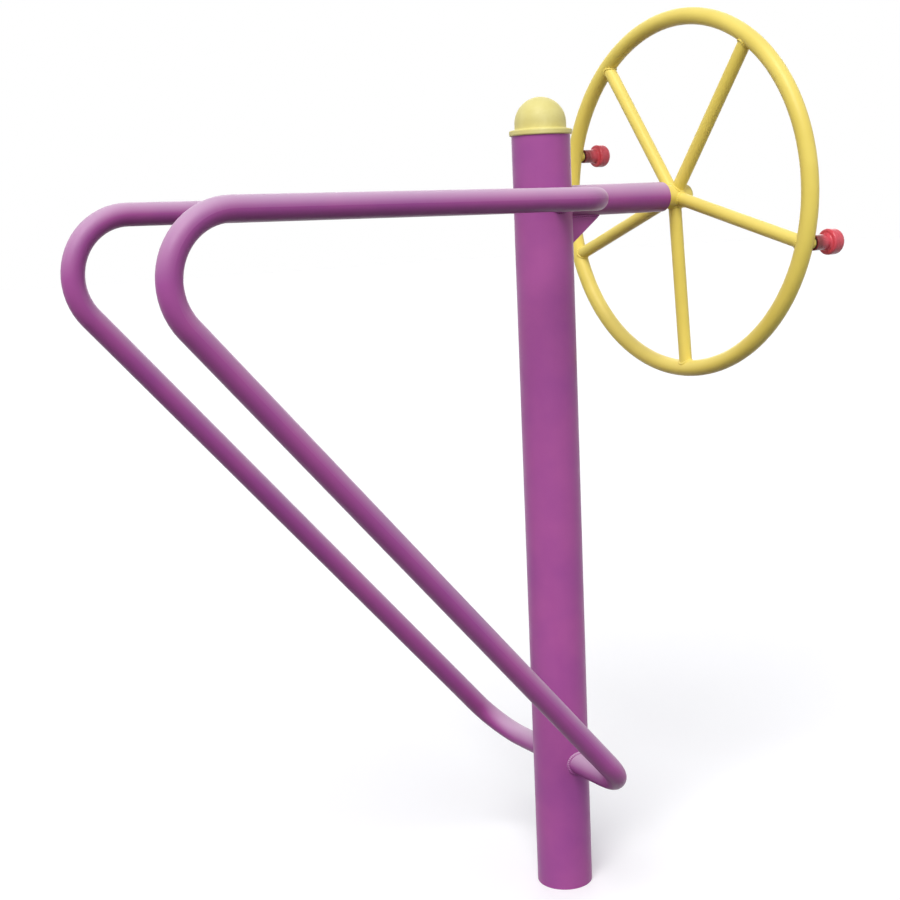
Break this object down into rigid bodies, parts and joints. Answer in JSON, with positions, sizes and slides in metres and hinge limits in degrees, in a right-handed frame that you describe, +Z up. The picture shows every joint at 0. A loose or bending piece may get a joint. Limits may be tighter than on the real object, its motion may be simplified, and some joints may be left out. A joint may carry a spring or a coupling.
{
  "type": "outdoor dip bar station",
  "caption": "Post with parallel bent-tube dip bars on one side and, on an arm on the other, a spoked shoulder wheel with turning knobs.",
  "frame": {"origin": "centre of the post's foot, on the ground", "axes": "+Z up along the post, +X from the post to the wheel, the dip bars reach towards -X"},
  "size_m": [1.3377, 0.7526, 1.7853],
  "materials": {
    "purple_coat": "satin powder coat",
    "yellow_coat": "satin powder coat",
    "yellow_plastic": "smooth moulded",
    "red_plastic": "smooth moulded",
    "bearing_steel": "ground",
    "zinc_steel": "zinc plated",
    "black_nylon": "turned",
    "seal_rubber": "matte"
  },
  "bodies": {
    "frame": {"post": "purple_coat", "post_cap": "yellow_plastic", "dip_bar_right": "purple_coat", "dip_bar_left": "purple_coat", "arm_tube": "purple_coat", "arm_gusset": "purple_coat", "arm_end_plate": "purple_coat", "axle": "zinc_steel", "bearing_in_inner_ring": "bearing_steel", "bearing_out_inner_ring": "bearing_steel", "bearing_spacer": "zinc_steel", "axle_washer": "zinc_steel", "axle_nut": "zinc_steel"},
    "wheel": {"hub_shell": "yellow_coat", "hub_cap": "yellow_plastic", "wheel_rim": "yellow_coat", "spoke_1": "yellow_coat", "spoke_2": "yellow_coat", "spoke_3": "yellow_coat", "spoke_4": "yellow_coat", "spoke_5": "yellow_coat", "bearing_in_outer_ring": "bearing_steel", "bearing_out_outer_ring": "bearing_steel", "bearing_in_seals": "seal_rubber", "bearing_out_seals": "seal_rubber", "knob_boss_a": "yellow_coat", "knob_boss_b": "yellow_coat", "knob_stud_a": "zinc_steel", "knob_stud_b": "zinc_steel", "knob_washers_a": "black_nylon", "knob_washers_b": "black_nylon", "knob_nut_a": "zinc_steel", "knob_nut_b": "zinc_steel"},
    "rolling_set_in": {"bearing_in_balls": "bearing_steel", "bearing_in_cage": "bearing_steel"},
    "rolling_set_out": {"bearing_out_balls": "bearing_steel", "bearing_out_cage": "bearing_steel"},
    "turning_knob_a": {"knob_a": "red_plastic", "knob_plug_a": "red_plastic"},
    "turning_knob_b": {"knob_b": "red_plastic", "knob_plug_b": "red_plastic"}
  },
  "joints": [
    {"name": "wheel_spin", "type": "hinge", "parent": "frame", "child": "wheel", "pos_m": [0.355, 0, 1.409], "axis": [1, 0, 0], "continuous": true},
    {"name": "bearing_in_roll", "type": "hinge", "parent": "frame", "child": "rolling_set_in", "pos_m": [0.318, 0, 1.409], "axis": [1, 0, 0], "continuous": true},
    {"name": "bearing_out_roll", "type": "hinge", "parent": "frame", "child": "rolling_set_out", "pos_m": [0.35, 0, 1.409], "axis": [1, 0, 0], "continuous": true},
    {"name": "knob_a_spin", "type": "hinge", "parent": "wheel", "child": "turning_knob_a", "pos_m": [0.355, -0.34557, 1.30991], "axis": [1, 0, 0], "continuous": true},
    {"name": "knob_b_spin", "type": "hinge", "parent": "wheel", "child": "turning_knob_b", "pos_m": [0.355, 0.34557, 1.50809], "axis": [1, 0, 0], "continuous": true}
  ],
  "couplings": [
    {"joint": "bearing_in_roll", "follows": "wheel_spin", "ratio": 0.60242},
    {"joint": "bearing_out_roll", "follows": "wheel_spin", "ratio": 0.60242}
  ]
}
